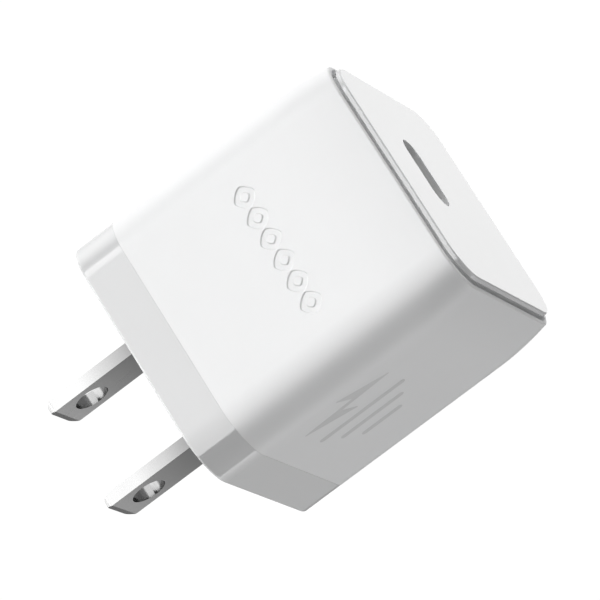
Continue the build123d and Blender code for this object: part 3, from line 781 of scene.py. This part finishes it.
COOL = 0.004
POLYCARBONATE = 1.585
SLEEVE_IOR = 1.54
SLEEVE_FINISH = surface(
    "sleeve_white", greys(0.875, 0.89, COOL), (0.42, 0.47), (0.09, 0.0012), ior=SLEEVE_IOR
)
CAP_FINISH = surface(
    "cap_white", greys(0.785, 0.805, COOL), (0.08, 0.11), (0.6, 0.0004), ior=POLYCARBONATE
)
PANEL_FINISH = surface(
    "panel_white", greys(0.81, 0.83, COOL), (0.06, 0.09), (0.25, 0.0005), ior=POLYCARBONATE
)
# the blades' colour carries painted shade, darker towards the root where the body shades them
BLADE_FINISH = surface(
    "nickel_plate", greys(0.46, 0.50), (0.27, 0.33), (0.05, 0.0005),
    metallic=1.0, stretch=(1, 0.12, 1), patch=4.0, root_shade=(-0.5, 13.0, 0.18),
)
# the punched sides' colour carries painted shade too, darker towards the root where the body shades
# them
PUNCHED_FINISH = surface(
    "punched_edge", greys(0.15, 0.19), (0.28, 0.34), (0.08, 0.002),
    metallic=1.0, stretch=(0.2, 1, 1), root_shade=(0.0, 10.0, 0.27),
)
HOLE_FINISH = surface(
    "hole_wall", greys(0.10, 0.14), (0.14, 0.2), (0.15, 0.003), metallic=1.0, stretch=(0.2, 1, 1)
)
INK_FINISH = surface("grey_ink", greys(0.69, 0.73, COOL), (0.40, 0.48), (0.12, 0.001))

# finishes of the carried pieces, by the slot name in the part's record
FINISHES = {
    "carrier_nylon": dict(
        colours=((0.55, 0.53, 0.47), (0.6, 0.58, 0.52)), roughness=(0.45, 0.55), grain=(0.2, 0.006)
    ),
    "spring_bronze": dict(
        colours=((0.72, 0.48, 0.26), (0.8, 0.56, 0.32)),
        roughness=(0.25, 0.35),
        grain=(0.06, 0.001),
        metallic=1.0,
    ),
    "board_laminate": dict(
        colours=((0.01, 0.11, 0.05), (0.02, 0.16, 0.07)),
        roughness=(0.3, 0.4),
        grain=(0.3, 0.004),
        patch=3.0,
        ridges=(("X", 0.45, 0.004), ("Y", 0.45, 0.004)),
    ),
    "shell_steel": dict(
        colours=greys(0.52, 0.6), roughness=(0.2, 0.3), grain=(0.08, 0.001), metallic=1.0, patch=3.0
    ),
    "black_moulding": dict(colours=greys(0.018, 0.03), roughness=(0.4, 0.5), grain=(0.1, 0.004)),
    "contact_gold": dict(
        colours=((0.88, 0.6, 0.24), (0.95, 0.68, 0.3)),
        roughness=(0.15, 0.22),
        grain=(0.05, 0.001),
        metallic=1.0,
    ),
    "ferrite": dict(
        colours=greys(0.03, 0.055), roughness=(0.5, 0.65), grain=(0.12, 0.01), patch=0.5
    ),
    "bobbin_phenolic": dict(
        colours=((0.05, 0.03, 0.02), (0.08, 0.05, 0.03)), roughness=(0.35, 0.45), grain=(0.2, 0.006)
    ),
    "enamelled_copper": dict(
        colours=((0.62, 0.2, 0.06), (0.75, 0.28, 0.09)),
        roughness=(0.2, 0.3),
        grain=(0.1, 0.002),
        metallic=1.0,
        ridges=(("Z", 0.3, 0.08),),
    ),
    "insulated_wire": dict(
        colours=((0.75, 0.5, 0.03), (0.85, 0.6, 0.05)),
        roughness=(0.3, 0.4),
        grain=(0.1, 0.002),
        ridges=(("Z", 0.6, 0.15),),
    ),
    "polyester_tape": dict(
        colours=((0.8, 0.55, 0.04), (0.86, 0.62, 0.07)), roughness=(0.2, 0.3), grain=(1.5, 0.03)
    ),
    "tinned_wire": dict(
        colours=greys(0.62, 0.72), roughness=(0.25, 0.35), grain=(0.15, 0.004), metallic=1.0
    ),
    "can_aluminium": dict(
        colours=greys(0.66, 0.74),
        roughness=(0.2, 0.3),
        grain=(0.05, 0.001),
        metallic=1.0,
        stretch=(0.1, 1, 1),
    ),
    "seal_rubber": dict(colours=greys(0.02, 0.035), roughness=(0.6, 0.75), grain=(0.15, 0.008)),
    "film_box": dict(
        colours=((0.75, 0.52, 0.1), (0.8, 0.58, 0.14)), roughness=(0.35, 0.45), grain=(0.3, 0.008)
    ),
    "fuse_sleeve": dict(
        colours=((0.03, 0.03, 0.035), (0.05, 0.05, 0.055)), roughness=(0.3, 0.4), grain=(0.5, 0.02)
    ),
    "thermistor_coat": dict(
        colours=((0.02, 0.09, 0.05), (0.03, 0.13, 0.07)), roughness=(0.3, 0.45), grain=(0.5, 0.04)
    ),
    "chip_ceramic": dict(
        colours=greys(0.05, 0.09), roughness=(0.4, 0.55), grain=(0.08, 0.004), patch=0.6
    ),
    "gap_pad": dict(
        colours=((0.3, 0.36, 0.5), (0.36, 0.42, 0.56)),
        roughness=(0.6, 0.75),
        grain=(0.4, 0.02),
        patch=1.0,
    ),
    "spreader_copper": dict(
        colours=((0.85, 0.45, 0.3), (0.92, 0.55, 0.38)),
        roughness=(0.25, 0.38),
        grain=(0.06, 0.001),
        metallic=1.0,
        stretch=(1, 0.1, 1),
    ),
    "insulating_film": dict(
        colours=((0.78, 0.8, 0.8), (0.84, 0.85, 0.85)),
        roughness=(0.25, 0.35),
        grain=(2.0, 0.03),
        clear=0.4,
    ),
}


def assign(made, finish):
    """Makes this the object's only material."""
    made.data.materials.clear()
    made.data.materials.append(finish)


# ---------------------------------------------------------------- pieces
def add_piece(made, finish, slot_name, *nodes):
    """Finishes a piece: gives it its material and body and hides the CAD nodes it stands for;
    slot_name is not used.
    """
    assign(made, finish)
    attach(made, "root")
    if nodes:
        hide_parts(*nodes)


sleeve, rails = make_sleeve()
cut(sleeve, make_mark_cutters())
join(sleeve, rails)
add_piece(smooth(sleeve), SLEEVE_FINISH, "sleeve_plastic", "housing_sleeve")
add_piece(smooth(make_cap()), CAP_FINISH, "cap_plastic", "plug_end_cap")
add_piece(smooth(make_panel()), PANEL_FINISH, "panel_plastic", "front_panel")
for blade_side, blade_name in ((-1, "blade_left"), (1, "blade_right")):
    blade = make_blade(f"plug_{blade_name}", blade_side)
    add_piece(smooth(blade, BLADE_SHARP), BLADE_FINISH, "blade_metal", blade_name)
    mark_punched(blade)
add_piece(smooth(make_side_mark()), INK_FINISH, "sleeve_plastic")

carried = {key: surface(key, **look) for key, look in FINISHES.items()}
for row in frame["record"]["subparts"]:
    cad = frame["nodes"][row["node"]]
    if not cad.hide_render:
        for material_slot in cad.material_slots:
            material_slot.material = carried[row["material_slot"]]


# ---------------------------------------------------------------- camera, floor and light
VIEW_FROM = Vector((-0.2077, -0.1346, 0.5247))
VIEW_TARGET = Vector((0.0005, -0.0148, -0.001))
VIEW_ROLL = -64.6
LENS = 321.7
CLIP_START = 0.01

camera = bpy.data.objects.new("camera", bpy.data.cameras.new("camera"))
bpy.context.scene.collection.objects.link(camera)
camera.location = VIEW_FROM
aim = (VIEW_TARGET - VIEW_FROM).to_track_quat("-Z", "Y").to_matrix()
camera.rotation_euler = (aim @ Matrix.Rotation(math.radians(VIEW_ROLL), 3, "Z")).to_euler()
camera.data.lens = LENS
camera.data.clip_start = CLIP_START
bpy.context.scene.camera = camera

# The floor glows white round the object and falls off to the backdrop's pale grey, between two
# distances in metres. It neither lights the object nor takes its shadow.
BACKDROP = 0.78
FLOOR_GLOW = 1.03
FLOOR_FALLOFF = (0.085, 0.17)
FLOOR_HALF = 3000.0

floor_finish, floor_tree, floor_shader = new_material("floor_white")
floor_shader.inputs["Base Color"].default_value = (0, 0, 0, 1)
floor_shader.inputs["Roughness"].default_value = 1.0
floor_shader.inputs["Specular IOR Level"].default_value = 0.0
floor_shader.inputs["Emission Color"].default_value = (1, 1, 1, 1)
floor_place = floor_tree.nodes.new("ShaderNodeTexCoord").outputs["Object"]
distance = vector_math(floor_tree, "LENGTH", floor_place)
floor_level = map_range(floor_tree, distance, FLOOR_FALLOFF, (FLOOR_GLOW, BACKDROP), "SMOOTHSTEP")
floor_tree.links.new(floor_level, floor_shader.inputs["Emission Strength"])

floor_signs = ((-1, -1), (1, -1), (1, 1), (-1, 1))
floor_corners = [(x * FLOOR_HALF, y * FLOOR_HALF, CAD_LOW.z / MM) for x, y in floor_signs]
floor = make_object("floor", floor_corners, [(0, 1, 2, 3)])
assign(floor, floor_finish)
floor.visible_diffuse = False
floor.visible_glossy = False
floor.visible_shadow = False


def softbox(name, centre, target, size, radiance):
    """Rectangular studio light. radiance is what a mirror would show."""
    light = bpy.data.lights.new(name, "AREA")
    light.shape = "RECTANGLE"
    light.size, light.size_y = size
    light.energy = radiance * math.pi * size[0] * size[1]
    made = bpy.data.objects.new(name, light)
    bpy.context.scene.collection.objects.link(made)
    made.location = centre
    made.rotation_euler = (Vector(target) - Vector(centre)).to_track_quat("-Z", "Y").to_euler()
    made.visible_camera = False
    return made


ORIGIN = (0.0, 0.0, 0.0)
LIGHTS = [
    # name, centre, point aimed at, width and height, radiance, seen in diffuse, seen in gloss
    ("overhead", (0.025, 0.405, 0.5), (0.025, 0.405, 0.0), (0.89, 1.79), 5.25, False, True),
    ("overhead_edge", (0.435, 0.405, 0.499), (0.435, 0.405, 0.0), (0.37, 1.79), 1.7, False, True),
    ("top", (0.0, 0.0, 1.0), ORIGIN, (0.8, 0.8), 0.95, True, False),
    ("front", (0.15, -1.0, 0.1), ORIGIN, (0.8, 0.8), 0.7, True, True),
    ("back", (0.0, 1.0, 0.1), ORIGIN, (1.0, 0.8), 3.0, True, False),
    ("back_edge", (0.42, 1.0, -0.3), (0.42, 0.0, -0.3), (0.36, 1.4), 1.7, False, True),
]
for name, centre, target, size, radiance, diffuse, gloss in LIGHTS:
    made = softbox(name, centre, target, size, radiance)
    made.visible_diffuse = diffuse
    made.visible_glossy = gloss

# Studio surroundings: (sine of elevation, radiance) on the left and on the right of the object.
LEFT_GLOW = [
    (-1.0, 0.22), (-0.91, 0.3), (-0.73, 0.78), (-0.61, 1.5),
    (-0.53, 2.3), (-0.468, 2.9), (-0.46, 0.08), (1.0, 0.07),
]
RIGHT_GLOW = [
    (-1.0, 0.95), (-0.91, 1.3), (-0.8, 0.8), (-0.52, 0.52), (-0.36, 0.98), (-0.19, 1.55),
    (-0.04, 2.1), (0.14, 2.35), (0.31, 1.9), (0.47, 1.15), (0.72, 0.15), (1.0, 0.05),
]
# radiance of a ramp colour of 1
GLOW_PEAK = 4.0
# cosines, from the left or right axis, between which the glow fades in
GLOW_WINDOW = (0.45, 0.8)
# radiance of the even light that comes from all round
AMBIENT = 0.16


def glow(tree, stops, side):
    """Background light from one side, graded by elevation and fading to the front and back."""
    place = tree.nodes.new("ShaderNodeTexCoord").outputs["Generated"]
    parts = tree.nodes.new("ShaderNodeSeparateXYZ")
    tree.links.new(place, parts.inputs["Vector"])
    ramp = tree.nodes.new("ShaderNodeValToRGB")
    height = map_range(tree, parts.outputs["Z"], (-1.0, 1.0), (0.0, 1.0))
    tree.links.new(height, ramp.inputs["Fac"])
    elements = ramp.color_ramp.elements
    while len(elements) < len(stops):
        elements.new(0.5)
    for element, (sine, radiance) in zip(elements, stops):
        element.position = (sine + 1) / 2
        element.color = (*[radiance / GLOW_PEAK] * 3, 1.0)
    level = vector_math(tree, "NORMALIZE", vector_math(tree, "MULTIPLY", place, (1, 1, 0)))
    facing = vector_math(tree, "DOT_PRODUCT", level, (side, 0, 0))
    window = map_range(tree, facing, GLOW_WINDOW, (0.0, 1.0), "SMOOTHSTEP")
    made = tree.nodes.new("ShaderNodeBackground")
    made.inputs["Strength"].default_value = GLOW_PEAK
    tree.links.new(scaled(tree, ramp.outputs["Color"], window), made.inputs["Color"])
    return made


def sum_of(tree, first, second):
    """Two world shaders added."""
    made = tree.nodes.new("ShaderNodeAddShader")
    tree.links.new(first.outputs[0], made.inputs[0])
    tree.links.new(second.outputs[0], made.inputs[1])
    return made


world = bpy.data.worlds.new("studio")
bpy.context.scene.world = world
world.use_nodes = True
studio = world.node_tree
ambient = studio.nodes["Background"]
ambient.inputs["Color"].default_value = (1, 1, 1, 1)
ambient.inputs["Strength"].default_value = AMBIENT
surroundings = ambient
for stops, side in ((LEFT_GLOW, -1), (RIGHT_GLOW, 1)):
    surroundings = sum_of(studio, surroundings, glow(studio, stops, side))
backdrop = studio.nodes.new("ShaderNodeBackground")
backdrop.inputs["Color"].default_value = (BACKDROP, BACKDROP, BACKDROP, 1)
seen = studio.nodes.new("ShaderNodeLightPath")
either = studio.nodes.new("ShaderNodeMixShader")
studio.links.new(seen.outputs["Is Camera Ray"], either.inputs["Fac"])
studio.links.new(surroundings.outputs[0], either.inputs[1])
studio.links.new(backdrop.outputs[0], either.inputs[2])
studio.links.new(either.outputs[0], studio.nodes["World Output"].inputs["Surface"])

bpy.context.scene.view_settings.view_transform = "Standard"
